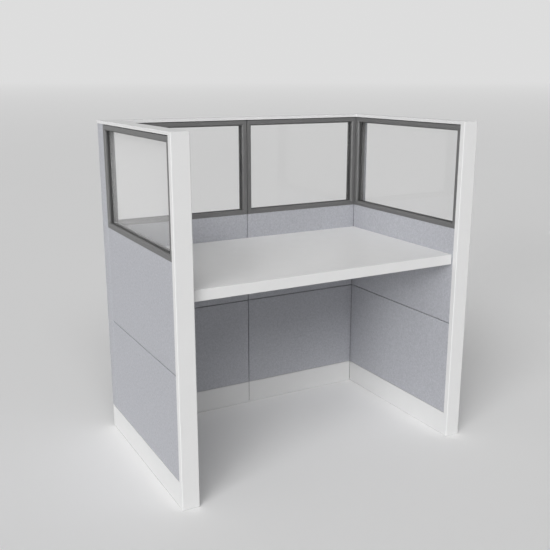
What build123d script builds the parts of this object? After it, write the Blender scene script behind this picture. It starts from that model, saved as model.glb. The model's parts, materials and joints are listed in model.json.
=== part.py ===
from build123d import *
import os

os.makedirs("parts", exist_ok=True)

# A three-sided office workstation: a left, a back and a right wall of framed panels, glazed above
# and fabric below, with a worktop between them. X runs to the right, Y to the back and Z up, and
# the origin is on the floor under the middle. All sizes are in millimetres.

# Overall size
overall_width = 1219.0
overall_depth = 763.0
overall_height = 1266.0

# Panel make-up
panel_thickness = 62.0
tile_thickness = 12.0
tile_edge_radius = 1.5
tile_gap = 3.0
joint_gap = 3.0
seam_gap = 2.0
cover_gap = 1.0
corner_gap = 1.0
fit_gap = 0.3
overrun = 2.0
quarter_turn = 90.0
half_turn = 180.0

# Heights above the floor
trim_bottom = 1.0
frame_bottom = 10.0
base_top = 97.0
tile_split = 480.0
window_sill = 861.0
worktop_top = 759.0

# Steel frames inside the panels
steel_wall = 2.0
upright_width = 30.0
rail_height = 20.0
front_upright_depth = 16.0
front_upright_radius = 2.5
worktop_rail_height = 24.0
worktop_rail_drop = 6.0

# Top caps and end trims
sheet = 1.0
cap_height = 11.5
cap_reveal = 3.0
cap_radius = 0.8
cap_rib_inset = 14.0
trim_depth = 21.5
trim_lap = 4.0
trim_radius = 3.0

# Corner covers at the rear
corner_strip = 67.7

# Windows
bar_width = 19.0
bar_depth = 42.0
bar_wall = 2.0
bar_chamfer = 4.0
mitre_gap = 0.2
groove_setback = 16.5
groove_width = 9.0
groove_depth = 7.0
glass_thickness = 6.0
glass_bite = 5.5
gasket_gap = 0.1
gasket_lip = 1.0
gasket_wing = 8.0

# Hinged base covers
cover_sheet = 1.2
cover_lip = 8.0
bead_radius = 2.5
hinge_height = 4.2
hinge_rail_wall = 0.6
hinge_rail_start_angle = 77.0
hinge_rail_end_angle = 312.0
hinge_web_drop = 1.0
hinge_web_lap = 1.5

# Levelling feet
pad_radius = 18.0
pad_height = 5.0
nut_radius = 8.5
stud_radius = 5.0
stud_length = 42.0
bush_radius = 9.0
foot_inset = 30.0

# Worktop and what holds it
worktop_thickness = 39.0
worktop_setback = 28.1
worktop_side_gap = 1.0
edge_band = 2.0
edge_radius = 1.5
cleat_leg = 35.0
cleat_sheet = 3.0
cleat_front_setback = 153.0
cleat_rear_setback = 28.9
bracket_sheet = 1.6
bracket_reach = 360.0
bracket_drop = 160.0
bracket_nose = 25.0
bracket_flange = 30.0
bracket_flange_end = 20.0
bracket_root = 40.0
bracket_root_rise = 15.0

# Screws and bolts
screw_radius = 2.4
screw_length = 23.0
screw_head_radius = 4.5
screw_head_height = 2.5
screw_end_share = 0.1
screws_per_cleat = 3
bolt_radius = 4.0
bolt_length = 70.0
hex_radius = 7.0
hex_sides = 6
bolt_head_height = 5.5
nut_height = 6.5
bolt_lowest = 200.0
bolt_worktop_drop = 80.0
bolt_sill_drop = 61.0
bolt_stagger = 20.0

# Planes of the walls
face_x = overall_width / 2 - sheet
inner_x = face_x - panel_thickness
front_y = -overall_depth / 2
back_y = overall_depth / 2 - sheet
inner_y = back_y - panel_thickness
core_near = tile_thickness
core_far = panel_thickness - tile_thickness
core_middle = panel_thickness / 2
half_seam = seam_gap / 2
half_joint = joint_gap / 2
groove_middle = groove_setback + groove_width / 2

# Ends of the walls and of what lies on them
trim_end = front_y + trim_depth
front_start = trim_end - trim_lap
window_start = trim_end + fit_gap
cover_start = trim_end + corner_gap / 2
strip_front = back_y - corner_strip
side_rear = inner_y - sheet - fit_gap
outer_rear = strip_front - fit_gap
steel_rear = inner_y - fit_gap
cleat_start = front_y + worktop_setback + cleat_front_setback
cleat_end = inner_y - cleat_rear_setback
back_start = face_x - tile_thickness - fit_gap
upright_start = front_start - fit_gap / 2

# Levels
cap_bottom = overall_height - cap_height
window_top = cap_bottom - cap_reveal
strip_top = cap_bottom - fit_gap
tile_bottom = base_top + cover_gap
frame_top = window_sill
worktop_bottom = worktop_top - worktop_thickness
worktop_rail_top = worktop_bottom - worktop_rail_drop
bolt_heights = (bolt_lowest, worktop_bottom - bolt_worktop_drop, window_sill - bolt_sill_drop)
clear_radius = screw_radius + fit_gap
bolt_hole_radius = bolt_radius + fit_gap


def block(x0, x1, y0, y1, z0, z1):
    """A box from its two ends along each axis."""
    return Pos((x0 + x1) / 2, (y0 + y1) / 2, (z0 + z1) / 2) * Box(x1 - x0, y1 - y0, z1 - z0)


def rod(start, direction, radius, length):
    """A round rod from a point, along a direction."""
    plane = Plane(origin=start, z_dir=direction)
    return extrude(plane * Circle(radius), amount=length)


def hexagon(start, direction, height):
    """A hexagonal head or nut blank from a point, along a direction."""
    plane = Plane(origin=start, z_dir=direction)
    return extrude(plane * RegularPolygon(hex_radius, side_count=hex_sides), amount=height)


def run_profile(sketch, s0, s1):
    """A section drawn across a wall, as distance from its face and height, run along the wall."""
    return extrude(Plane.YZ.offset(s0) * sketch, amount=s1 - s0)


def rectangle(x0, x1, y0, y1):
    """A flat rectangle from its two ends along each axis."""
    return Pos((x0 + x1) / 2, (y0 + y1) / 2) * Rectangle(x1 - x0, y1 - y0)


def flipped(shape):
    """The same piece on the outer face of a wall."""
    middle = Plane(origin=(0, core_middle, 0), z_dir=(0, 1, 0))
    return mirror(shape, about=middle)


def on_left(shape):
    """From wall coordinates to the left wall."""
    return Location((-inner_x, 0, 0), (0, 0, quarter_turn)) * shape


def on_right(shape):
    """From wall coordinates to the right wall."""
    return mirror(on_left(shape), about=Plane.YZ)


def on_back(shape):
    """From wall coordinates to the back wall."""
    return Pos(0, inner_y, 0) * shape


def write(name, *shapes):
    """Write the solids of one sub-part to its own file."""
    solids = [solid for shape in shapes for solid in shape.solids()]
    export_step(Compound(children=solids), f"parts/{name}.step")


# The four panels. Each is drawn with s along its wall, d outwards from its inner face and z up.
# On the side walls s is Y, and on the back wall it is X.
panels = {
    "left": {
        "place": on_left,
        "steel": (upright_start, steel_rear),
        "inner": (front_start, side_rear),
        "outer": (front_start, outer_rear),
        "window": (window_start, outer_rear),
        "window_outside": True,
        "inner_cover": (cover_start, side_rear, cover_start, side_rear),
        "outer_cover": (cover_start, back_y - fit_gap, cover_start, inner_y + core_far - fit_gap),
        "cap": (trim_end + fit_gap, side_rear),
    },
    "right": {
        "place": on_right,
        "steel": (upright_start, steel_rear),
        "inner": (front_start, side_rear),
        "outer": (front_start, outer_rear),
        "window": (window_start, side_rear),
        "window_outside": False,
        "inner_cover": (cover_start, side_rear, cover_start, side_rear),
        "outer_cover": (cover_start, back_y - fit_gap, cover_start, inner_y + core_far - fit_gap),
        "cap": (trim_end + fit_gap, side_rear),
    },
    "back_left": {
        "place": on_back,
        "steel": (-back_start, -half_seam),
        "inner": (fit_gap - inner_x, -half_joint),
        "outer": (-back_start, -half_joint),
        "window": (-back_start, -half_joint),
        "window_outside": False,
        "inner_cover": (corner_gap - inner_x, -half_seam, corner_gap - inner_x, -half_seam),
        "outer_cover": (cover_sheet + corner_gap - face_x, -half_seam, -back_start, -half_seam),
        "cap": (-face_x - sheet, -fit_gap),
    },
    "back_right": {
        "place": on_back,
        "steel": (half_seam, inner_x - fit_gap),
        "inner": (half_joint, inner_x - fit_gap),
        "outer": (half_joint, inner_x - fit_gap),
        "window": (half_joint, inner_x - fit_gap),
        "window_outside": False,
        "inner_cover": (half_seam, inner_x - corner_gap, half_seam, inner_x - corner_gap),
        "outer_cover": (half_seam, face_x - cover_sheet - corner_gap, half_seam, back_start),
        "cap": (fit_gap, face_x + sheet),
    },
}


def side_wall(name):
    """Whether a panel belongs to a side wall."""
    return name in ("left", "right")


def rail_span(name):
    """The two ends of the rails between a panel's uprights."""
    start, end = panels[name]["steel"]
    if side_wall(name):
        return start, end - upright_width
    return start + upright_width, end - upright_width


def foot_places(name):
    """Where along its wall a panel's two feet stand."""
    start, end = rail_span(name)
    return start + foot_inset, end - foot_inset


def screw_sets():
    """Each worktop screw's place under its head, and its direction."""
    end = screw_end_share * (cleat_end - cleat_start)
    step = (cleat_end - cleat_start - 2 * end) / (screws_per_cleat - 1)
    screws = []
    for side in (-1, 1):
        for number in range(screws_per_cleat):
            y = cleat_start + end + number * step
            wall_z = worktop_rail_top - worktop_rail_height / 2
            screws.append(((side * (inner_x - cleat_sheet), y, wall_z), (side, 0, 0)))
            top_x = side * (inner_x - cleat_leg / 2)
            screws.append(((top_x, y, worktop_bottom - cleat_sheet), (0, 0, 1)))
    flange_front = inner_y - bracket_reach
    flange_back = inner_y - bracket_flange_end
    for share in (screw_end_share, 1 - screw_end_share):
        y = flange_front + share * (flange_back - flange_front)
        screws.append(((bracket_flange / 2, y, worktop_bottom - bracket_sheet), (0, 0, 1)))
    return screws


def bolt_sets():
    """Each connector bolt's place under its head, its direction, and how far on its nut sits."""
    sets = []
    side_start = steel_rear - upright_width
    seat_post = upright_width + 2 * fit_gap + steel_wall
    seat_strip = upright_width + fit_gap + tile_thickness + steel_wall
    seam_start = -half_seam - upright_width
    for z in bolt_heights:
        sets.append(((seam_start, inner_y + core_middle, z), (1, 0, 0), 2 * upright_width + seam_gap))
        left_x = -back_start + upright_width / 2
        sets.append(((left_x, side_start, z), (0, 1, 0), seat_strip))
        sets.append(((inner_x + core_middle, side_start, z), (0, 1, 0), seat_post))
        corner_x = inner_x - fit_gap - upright_width
        low = z - bolt_stagger
        sets.append(((corner_x, inner_y + core_middle, low), (1, 0, 0), seat_post))
    return sets


def along(start, direction, distance):
    """A point further along a direction."""
    return tuple(a + b * distance for a, b in zip(start, direction))


def screw(start, direction):
    """A pan-head screw."""
    shank = rod(start, direction, screw_radius, screw_length)
    head_start = along(start, direction, -screw_head_height)
    return shank + rod(head_start, direction, screw_head_radius, screw_head_height)


def bolt(start, direction):
    """A hexagon bolt."""
    shank = rod(start, direction, bolt_radius, bolt_length)
    head_start = along(start, direction, -bolt_head_height)
    return shank + hexagon(head_start, direction, bolt_head_height)


def nut(start, direction, seat):
    """The nut of a bolt, seated some way along it."""
    blank = hexagon(along(start, direction, seat), direction, nut_height)
    return blank - rod(start, direction, bolt_hole_radius, bolt_length)


def drilled(shape, holes, radius, length):
    """A shape with clearance holes for screws or bolts."""
    for start, direction in holes:
        shape = shape - rod(along(start, direction, -overrun), direction, radius, length + overrun)
    return shape


screw_places = screw_sets()
bolt_places = bolt_sets()
bolt_lines = [(start, direction) for start, direction, seat in bolt_places]


def upright(s0, s1, d0, d1, z1, radius=0):
    """A vertical tube of a panel frame."""
    outside = block(s0, s1, d0, d1, frame_bottom, z1)
    if radius:
        outside = fillet(outside.edges().filter_by(Axis.Z), radius)
    inside = block(s0 + steel_wall, s1 - steel_wall, d0 + steel_wall, d1 - steel_wall,
                   frame_bottom - overrun, z1 + overrun)
    return outside - inside


def rail(s0, s1, z0, z1):
    """A horizontal tube of a panel frame."""
    outside = block(s0, s1, core_near, core_far, z0, z1)
    inside = block(s0 - overrun, s1 + overrun, core_near + steel_wall, core_far - steel_wall,
                   z0 + steel_wall, z1 - steel_wall)
    return outside - inside


def bottom_rail(name):
    """The lowest rail, with a bush for each levelling foot."""
    s0, s1 = rail_span(name)
    shape = rail(s0, s1, frame_bottom, frame_bottom + rail_height)
    for s in foot_places(name):
        foot_centre = (s, core_middle, frame_bottom)
        shape = shape + rod(foot_centre, (0, 0, 1), bush_radius, rail_height)
        hole_start = (s, core_middle, frame_bottom - overrun)
        hole_radius = stud_radius + fit_gap
        shape = shape - rod(hole_start, (0, 0, 1), hole_radius, rail_height + 2 * overrun)
    return shape


def hinge_rail(s0, s1):
    """The rolled channel that a base cover's bead turns in, with its web to the bottom rail."""
    inner = bead_radius + fit_gap
    outer = inner + hinge_rail_wall
    sweep = hinge_rail_end_angle - hinge_rail_start_angle
    # Distance grows inwards here, so the channel's angles count from the far side.
    start = half_turn - hinge_rail_end_angle
    ring_outer = CenterArc((bead_radius, hinge_height), outer, start, sweep)
    ring_inner = CenterArc((bead_radius, hinge_height), inner, start, sweep)
    ends = [Line(ring_outer @ 0, ring_inner @ 0), Line(ring_outer @ 1, ring_inner @ 1)]
    channel = make_face(Curve() + [ring_outer, ends[1], ring_inner, ends[0]])
    web = rectangle(bead_radius + inner, core_near, hinge_height + hinge_web_drop,
                    frame_bottom + hinge_web_lap)
    return run_profile(channel + web, s0, s1)


def panel_frame(name):
    """The welded steel frame of one panel, as its separate members."""
    panel = panels[name]
    start, end = panel["steel"]
    s0, s1 = rail_span(name)
    members = [bottom_rail(name)]
    members.append(rail(s0, s1, tile_bottom, tile_bottom + rail_height))
    members.append(rail(s0, s1, tile_split - rail_height / 2, tile_split + rail_height / 2))
    members.append(rail(s0, s1, frame_top - rail_height, frame_top))
    members.append(upright(s1, end, core_near, core_far, frame_top))
    if side_wall(name):
        members.append(rail(s0, s1, worktop_rail_top - worktop_rail_height, worktop_rail_top))
        members.append(upright(start - front_upright_depth, start, fit_gap, panel_thickness - fit_gap,
                               overall_height - sheet - fit_gap, front_upright_radius))
    else:
        members.append(upright(start, s0, core_near, core_far, frame_top))
    if name == "back_left":
        members.append(upright(start, start + core_far - core_near, 0, core_near, frame_top))
    inner_cover = panel["inner_cover"]
    outer_cover = panel["outer_cover"]
    members.append(hinge_rail(inner_cover[2], inner_cover[3]))
    members.append(flipped(hinge_rail(outer_cover[2], outer_cover[3])))
    placed = [panel["place"](member) for member in members]
    if side_wall(name):
        placed = [drilled(member, screw_places, clear_radius, screw_length) for member in placed]
    return [drilled(member, bolt_lines, bolt_hole_radius, bolt_length) for member in placed]


def tile(s0, s1, z0, z1):
    """A fabric-wrapped board on the inner face of a wall."""
    board = block(s0, s1, 0, tile_thickness, z0, z1)
    return fillet(board.faces().sort_by(Axis.Y)[0].edges(), tile_edge_radius)


def window_edges(name):
    """The outside and the opening of a panel's window frame, along the wall and in height."""
    s0, s1 = panels[name]["window"]
    opening = (s0 + bar_width, s1 - bar_width, window_sill + bar_width, window_top - bar_width)
    return (s0, s1, window_sill, window_top), opening


def bar_section():
    """The section of a window bar: distance back from the opening, and depth."""
    section = rectangle(0, bar_width, 0, bar_depth)
    section = chamfer(section.vertices().group_by(Axis.X)[0], bar_chamfer)
    groove = rectangle(-overrun, groove_depth, groove_setback, groove_setback + groove_width)
    hollow = rectangle(groove_depth + bar_wall, bar_width - bar_wall, bar_wall, bar_depth - bar_wall)
    return section - groove - hollow


def window_bar(corner, direction, outwards, length):
    """One bar of a window frame, mitred where it meets its neighbours at two opening corners."""
    start = along(corner, direction, -bar_width - overrun)
    plane = Plane(origin=start, x_dir=outwards, z_dir=direction)
    section = bar_section()
    if plane.y_dir.Y < 0:
        section = mirror(section, about=Plane.XZ)
    bar = extrude(plane * section, amount=length + 2 * bar_width + 2 * overrun)
    reach = bar_width + overrun
    half_gap = mitre_gap / 2
    inside, outside = along(corner, outwards, -overrun), along(corner, outwards, reach)
    outline = (
        along(inside, direction, overrun + half_gap),
        along(inside, direction, length - overrun - half_gap),
        along(outside, direction, length + reach - half_gap),
        along(outside, direction, half_gap - reach),
    )
    wedge = Polyline(*[(x, -overrun, z) for x, y, z in outline], close=True)
    return bar & extrude(make_face(wedge), amount=bar_depth + 2 * overrun, dir=(0, 1, 0))


def window_frame(name):
    """The four mitred bars of a window frame, with a glazing groove."""
    s0, s1, z0, z1 = window_edges(name)[1]
    width, height = s1 - s0, z1 - z0
    return [
        window_bar((s0, 0, z0), (1, 0, 0), (0, 0, -1), width),
        window_bar((s1, 0, z0), (0, 0, 1), (1, 0, 0), height),
        window_bar((s1, 0, z1), (-1, 0, 0), (0, 0, 1), width),
        window_bar((s0, 0, z1), (0, 0, -1), (-1, 0, 0), height),
    ]


def pane_block(edges, margin, d0, d1):
    """A slab over a window opening, with a margin all round."""
    s0, s1, z0, z1 = edges
    return block(s0 - margin, s1 + margin, d0, d1, z0 - margin, z1 + margin)


def window_glass(name):
    """The pane, held by its edges in the groove."""
    near = groove_middle - glass_thickness / 2
    return pane_block(window_edges(name)[1], glass_bite, near, near + glass_thickness)


def glazing_gasket(name):
    """The rubber channel between the pane and its groove, with a flat wing each side of the pane."""
    opening = window_edges(name)[1]
    near, far = groove_middle - groove_width / 2 + gasket_gap, groove_middle + groove_width / 2 - gasket_gap
    half_slot = glass_thickness / 2 + gasket_gap
    start, end = near - gasket_wing, far + gasket_wing
    ring = pane_block(opening, groove_depth - gasket_gap, near, far)
    ring = ring + pane_block(opening, -gasket_gap, start, end)
    ring = ring - pane_block(opening, -gasket_lip, start - overrun, end + overrun)
    slot = glass_bite + gasket_gap
    return ring - pane_block(opening, slot, groove_middle - half_slot, groove_middle + half_slot)


def base_cover(plate, core):
    """A hinged raceway cover: plate, top lip, and the bead along its foot."""
    face = rectangle(0, cover_sheet, hinge_height, base_top)
    edge = rectangle(0, cover_lip, base_top - cover_sheet, base_top)
    bead = Pos(bead_radius, hinge_height) * Circle(bead_radius)
    return run_profile(face, *plate) + run_profile(face + edge + bead, *core)


def top_cap(name):
    """A channel over the top of a panel, resting on the window frame by two ribs."""
    panel = panels[name]
    s0, s1 = panel["cap"]
    outer = rectangle(-sheet, panel_thickness + sheet, cap_bottom, overall_height)
    outer = fillet(outer.vertices().group_by(Axis.Y)[-1], cap_radius)
    body = run_profile(outer, s0, s1)
    hollow_start = s0 + sheet if name == "back_left" else s0 - overrun
    hollow_end = s1 - sheet if name == "back_right" else s1 + overrun
    hollow = rectangle(0, panel_thickness, cap_bottom - overrun, overall_height - sheet)
    body = body - run_profile(hollow, hollow_start, hollow_end)
    rib_start, rib_end = panel["window"]
    for inset in (cap_rib_inset, bar_depth - cap_rib_inset - sheet):
        distance = panel_thickness - inset - sheet if panel["window_outside"] else inset
        rib = rectangle(distance, distance + sheet, window_top, overall_height - sheet)
        body = body + run_profile(rib, max(s0, rib_start), min(s1, rib_end))
    return panel["place"](body)


def end_trim():
    """The upright channel over the front end of a side wall, closed at the top."""
    outer = rectangle(front_y, trim_end, -sheet, panel_thickness + sheet)
    outer = fillet(outer.vertices().group_by(Axis.X)[0], trim_radius)
    inner = rectangle(front_y + sheet, trim_end + overrun, 0, panel_thickness)
    inner = fillet(inner.vertices().group_by(Axis.X)[0], trim_radius - sheet)
    body = extrude(Pos(0, 0, trim_bottom) * outer, amount=overall_height - trim_bottom)
    hollow_height = overall_height - sheet - trim_bottom + overrun
    return body - extrude(Pos(0, 0, trim_bottom - overrun) * inner, amount=hollow_height)


def foot(s):
    """A levelling foot: pad, nut and stud, screwed right up."""
    pad = rod((s, core_middle, 0), (0, 0, 1), pad_radius, pad_height)
    shoulder = rod((s, core_middle, 0), (0, 0, 1), nut_radius, frame_bottom)
    stud = rod((s, core_middle, 0), (0, 0, 1), stud_radius, frame_bottom + stud_length)
    return pad + shoulder + stud


def rear_end_cover():
    """The fabric strip over the left end of the back wall, with its leg between the windows."""
    strip = block(-face_x, -face_x + tile_thickness, strip_front, back_y, tile_bottom, strip_top)
    leg = block(-face_x + tile_thickness, -face_x + bar_depth, strip_front, steel_rear,
                window_sill + fit_gap, strip_top)
    return strip + leg


def corner_cover():
    """The fabric angle round the right rear corner."""
    side = block(face_x - tile_thickness, face_x, strip_front, back_y, tile_bottom, strip_top)
    rear = block(inner_x + fit_gap, face_x, back_y - tile_thickness, back_y, tile_bottom, strip_top)
    angle = side + rear
    corner = angle.edges().filter_by(Axis.Z).sort_by(lambda edge: edge.center().X + edge.center().Y)[-1]
    return fillet(corner, tile_edge_radius)


def corner_post():
    """The square steel post that joins the back and right walls."""
    x0, x1 = inner_x + fit_gap, face_x - tile_thickness - fit_gap
    y0, y1 = inner_y + fit_gap, back_y - tile_thickness - fit_gap
    tube = block(x0, x1, y0, y1, frame_bottom, strip_top)
    return tube - block(x0 + steel_wall, x1 - steel_wall, y0 + steel_wall, y1 - steel_wall,
                        frame_bottom - overrun, strip_top + overrun)


def worktop():
    """The worktop board, drilled for its screws."""
    half = inner_x - worktop_side_gap
    front = front_y + worktop_setback + edge_band
    board = block(-half, half, front, inner_y - worktop_side_gap, worktop_bottom, worktop_top)
    return drilled(board, screw_places, clear_radius, screw_length + fit_gap)


def worktop_edge_band():
    """The band along the worktop's front edge."""
    half = inner_x - worktop_side_gap
    front = front_y + worktop_setback
    band = block(-half, half, front, front + edge_band, worktop_bottom, worktop_top)
    return fillet(band.faces().sort_by(Axis.Y)[0].edges(), edge_radius)


def worktop_cleat(side):
    """The steel angle that carries one end of the worktop."""
    x_wall = side * inner_x
    x_sheet = side * (inner_x - cleat_sheet)
    x_leg = side * (inner_x - cleat_leg)
    upright_leg = block(min(x_wall, x_sheet), max(x_wall, x_sheet), cleat_start, cleat_end,
                        worktop_bottom - cleat_leg, worktop_bottom)
    flat_leg = block(min(x_wall, x_leg), max(x_wall, x_leg), cleat_start, cleat_end,
                     worktop_bottom - cleat_sheet, worktop_bottom)
    return drilled(upright_leg + flat_leg, screw_places, clear_radius, screw_length)


def centre_bracket():
    """The cantilever bracket, clamped in the seam between the two back panels."""
    front = inner_y - bracket_reach
    top = worktop_bottom - bracket_sheet
    bottom = worktop_bottom - bracket_drop
    outline = (
        (front, top),
        (front, worktop_bottom - bracket_nose),
        (inner_y - bracket_flange_end, bottom),
        (inner_y - fit_gap, bottom),
        (inner_y + bracket_root, bottom + bracket_root_rise),
        (inner_y + bracket_root, top),
    )
    side = Plane.YZ.offset(-bracket_sheet / 2) * Polygon(*outline, align=None)
    plate = extrude(side, amount=bracket_sheet)
    flange = block(-bracket_sheet / 2, bracket_flange, front, inner_y - bracket_flange_end, top,
                   worktop_bottom)
    shape = drilled(plate + flange, screw_places, clear_radius, screw_length)
    return drilled(shape, bolt_lines, bolt_hole_radius, bolt_length)


def write_panel(name):
    """Write the frame, tiles, window, covers, cap and feet of one panel."""
    panel = panels[name]
    place = panel["place"]
    write(f"{name}_panel_frame", *panel_frame(name))
    levels = {
        "lower": (tile_bottom, tile_split - tile_gap / 2),
        "upper": (tile_split + tile_gap / 2, window_sill - fit_gap),
    }
    for level, (z0, z1) in levels.items():
        inner_tile = place(tile(*panel["inner"], z0, z1))
        if side_wall(name) and level == "upper":
            inner_tile = drilled(inner_tile, screw_places, clear_radius, screw_length)
        write(f"{name}_inner_{level}_tile", inner_tile)
        write(f"{name}_outer_{level}_tile", place(flipped(tile(*panel["outer"], z0, z1))))
    turned = flipped if panel["window_outside"] else lambda shape: shape
    write(f"{name}_window_frame", *[place(turned(bar)) for bar in window_frame(name)])
    write(f"{name}_window_glass", place(turned(window_glass(name))))
    for face in ("inner", "outer"):
        ends = panel[f"{face}_cover"]
        cover = base_cover(ends[:2], ends[2:])
        write(f"{name}_{face}_base_cover", place(cover if face == "inner" else flipped(cover)))
    write(f"{name}_top_cap", top_cap(name))
    foot_names = ("front", "rear") if side_wall(name) else ("left", "right")
    for foot_name, s in zip(foot_names, foot_places(name)):
        write(f"{name}_panel_{foot_name}_foot", place(foot(s)))


def placed_gasket(name):
    """A glazing gasket in its wall."""
    panel = panels[name]
    gasket = glazing_gasket(name)
    return panel["place"](flipped(gasket) if panel["window_outside"] else gasket)


for panel_name in panels:
    write_panel(panel_name)
write("glazing_gaskets", *[placed_gasket(panel_name) for panel_name in panels])
write("left_end_trim", on_left(end_trim()))
write("right_end_trim", on_right(end_trim()))
write("rear_left_end_cover", rear_end_cover())
write("rear_right_corner_cover", corner_cover())
write("rear_right_corner_post", drilled(corner_post(), bolt_lines, bolt_hole_radius, bolt_length))
write("worktop", worktop())
write("worktop_edge_band", worktop_edge_band())
write("worktop_cleats", worktop_cleat(-1), worktop_cleat(1))
write("worktop_centre_bracket", centre_bracket())
write("worktop_screws", *[screw(start, direction) for start, direction in screw_places])
write("connector_bolts", *[bolt(start, direction) for start, direction in bolt_lines],
      *[nut(start, direction, seat) for start, direction, seat in bolt_places])
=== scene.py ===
import json
import math

import bmesh
import bpy
from mathutils import Matrix, Vector


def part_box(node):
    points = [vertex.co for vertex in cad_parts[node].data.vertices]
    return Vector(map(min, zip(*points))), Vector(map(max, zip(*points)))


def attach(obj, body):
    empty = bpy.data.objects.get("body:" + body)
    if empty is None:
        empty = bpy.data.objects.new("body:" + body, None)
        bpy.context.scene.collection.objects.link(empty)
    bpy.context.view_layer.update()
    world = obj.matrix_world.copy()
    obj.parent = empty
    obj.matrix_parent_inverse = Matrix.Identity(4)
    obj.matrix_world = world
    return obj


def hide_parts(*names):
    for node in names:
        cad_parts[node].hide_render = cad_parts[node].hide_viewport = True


# A three-sided office workstation with fabric panels, glazed tops and a white worktop. Sizes are in
# metres; X runs to the right, Y to the back and Z up, with the origin on the floor.

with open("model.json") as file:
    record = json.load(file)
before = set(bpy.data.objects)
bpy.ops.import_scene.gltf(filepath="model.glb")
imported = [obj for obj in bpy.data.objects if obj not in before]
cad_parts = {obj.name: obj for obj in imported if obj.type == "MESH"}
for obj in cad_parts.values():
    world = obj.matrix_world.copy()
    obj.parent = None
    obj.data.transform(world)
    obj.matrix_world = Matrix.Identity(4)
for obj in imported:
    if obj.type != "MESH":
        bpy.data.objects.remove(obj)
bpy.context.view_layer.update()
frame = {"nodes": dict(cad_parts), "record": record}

MM = 0.001
WALLS = ("left", "right", "back_left", "back_right")
SIDE_WALLS = ("left", "right")
FIXED_BODY = "workstation"
SAME_POINT = 0.001 * MM
SHARP_ANGLE = math.radians(35)

# Colours, as light reflected from 0 to 1
DARK_YARN = (0.29, 0.297, 0.335, 1)
PALE_YARN = (0.53, 0.537, 0.565, 1)
TRIM_WHITE = (0.685, 0.685, 0.685, 1)
LAMINATE_WHITE = (0.745, 0.745, 0.745, 1)
EDGE_WHITE = (0.675, 0.675, 0.675, 1)
FRAME_GREY = (0.128, 0.128, 0.128, 1)
STEEL_GREY = (0.08, 0.08, 0.082, 1)
ZINC = (0.60, 0.61, 0.62, 1)
# The rubber black is also painted on the caps' ribs, as painted shade.
RUBBER_AND_SHADE_BLACK = (0.04, 0.04, 0.04, 1)
GLASS_TINT = (0.996, 0.996, 0.996, 1)
FLOOR_GREY = (0.835, 0.835, 0.835, 1)
BACKGROUND = (0.725, 0.725, 0.725, 1)

# Fabric. The yarn step and the weft offset keep the shades of different threads apart.
THREAD_PITCH = 1.5 * MM
WEAVE_DEPTH = 0.25 * MM
CROSSING_SHARE = 0.55
SLUB_SIZE = 9 * MM
SLUB_SHIFT = 0.35
YARN_LENGTH = 7 * MM
YARN_STEP = 7.3
WEFT_OFFSET = 50.0
HEATHER_SIZE = 8 * MM
HEATHER_SHADES = (0.78, 1.22)
# The weave's low places, between the threads and where they pass under, are darkened as painted shade.
WEAVE_PAINTED_SHADE = (0.93, 1.04)

# Painted and moulded surfaces
CLOUD_SIZE = 60 * MM
GRAIN_SHADE = 0.01
GRAIN_ROUGHNESS = 0.05

# Glass and zinc
DUST_SIZE = 30 * MM
DUST_SHADES = (0.99, 1.0)
DUST_ROUGHNESS = (0.0, 0.012)
ZINC_GRAIN = 1.5 * MM
ZINC_SHADES = (0.85, 1.1)
ZINC_ROUGHNESS = (0.28, 0.45)
ZINC_DEPTH = 0.02 * MM

# Upholstered boards
EDGE_STEPS = 4
BOARD_EDGE = 1.5 * MM
CROWN = 0.4 * MM
CROWN_POWER = 6
CROWN_SPACING = 30 * MM
HEM_FOLD = 0.8 * MM
HEM_WIDTH = 18 * MM
HEM_DEPTH = 0.7 * MM
WRAP_EDGE = 1.6 * MM
FABRIC_GAP = 0.3 * MM

# Threads and hexagons
ROUND_SIDES = 24
HEXAGON_SIDES = 6
RIDGE_SIDES = 3
THREAD_STEPS = 14
WELD = 0.01 * MM
RIDGE_SHARE = 0.5
HEXAGON_FACE_SHARE = 0.9
HEAD_BEVEL_SHARE = 0.15
NUT_BEVEL_SHARE = 0.12
SHANK_START_SHARE = 0.7

# Worktop screws
CROWN_STEPS = 4
HEAD_FLAT_SHARE = 0.55
HEAD_CROWN_SHARE = 0.6
SCREW_HEAD_RADIUS = 4.5 * MM
SCREW_HEAD_HEIGHT = 2.5 * MM
SCREW_ROOT = 1.9 * MM
SCREW_LENGTH = 23 * MM
SCREW_PITCH = 1.0 * MM
SCREW_POINT_SHARE = 0.5
SCREW_RECESS = 0.9 * MM
RECESS_REACH_SHARE = 1.1

# Connector bolts and nuts
BOLT_HEXAGON = 7.0 * MM
BOLT_HEAD_HEIGHT = 5.5 * MM
BOLT_ROOT = 3.6 * MM
BOLT_CLEAR = 4.3 * MM
BOLT_LENGTH = 70 * MM
BOLT_THREADED = 30 * MM
BOLT_PITCH = 1.25 * MM
NUT_HEIGHT = 6.5 * MM

# Levelling feet
PAD_RADIUS = 18 * MM
PAD_HEIGHT = 5 * MM
PAD_RIM_SHARE = 0.94
PAD_EDGE_SHARES = (0.25, 0.55)
PAD_CROWN_SHARE = 0.8
FOOT_SEAT_SHARE = 0.8
FOOT_HEXAGON = 8.5 * MM
FOOT_FACE_SHARE = 0.92
FOOT_SHOULDER = 10 * MM
FOOT_BEVEL = 0.6 * MM
STUD_ROOT = 4.5 * MM
STUD_TOP = 52 * MM
STUD_PITCH = 1.5 * MM
STUD_POINT_SHARE = 0.75

# Caps, and the lips under the base covers
CAP_REVEAL = 2.9 * MM
LIP_LIFT = 0.15 * MM
LIP_HEIGHT = 2.35 * MM
LIP_THICKNESS = 0.22 * MM
LIP_PROUD = 0.15 * MM
LIP_END = 0.4 * MM
BAR_EDGE = 0.12 * MM
BAR_EDGE_STEPS = 2

# Fabric strips in the inner corners
WELT_SET_BACK = 0.4 * MM
WELT_WIDTH = 4.0 * MM
WELT_GAP = 0.1 * MM

# Black strips in the seam of the back wall
STRIP_INSET = 1.0 * MM
STRIP_DEPTH = 5.0 * MM
STRIP_FOOT = 8 * MM
STRIP_CLEARANCE = 0.1 * MM

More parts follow.
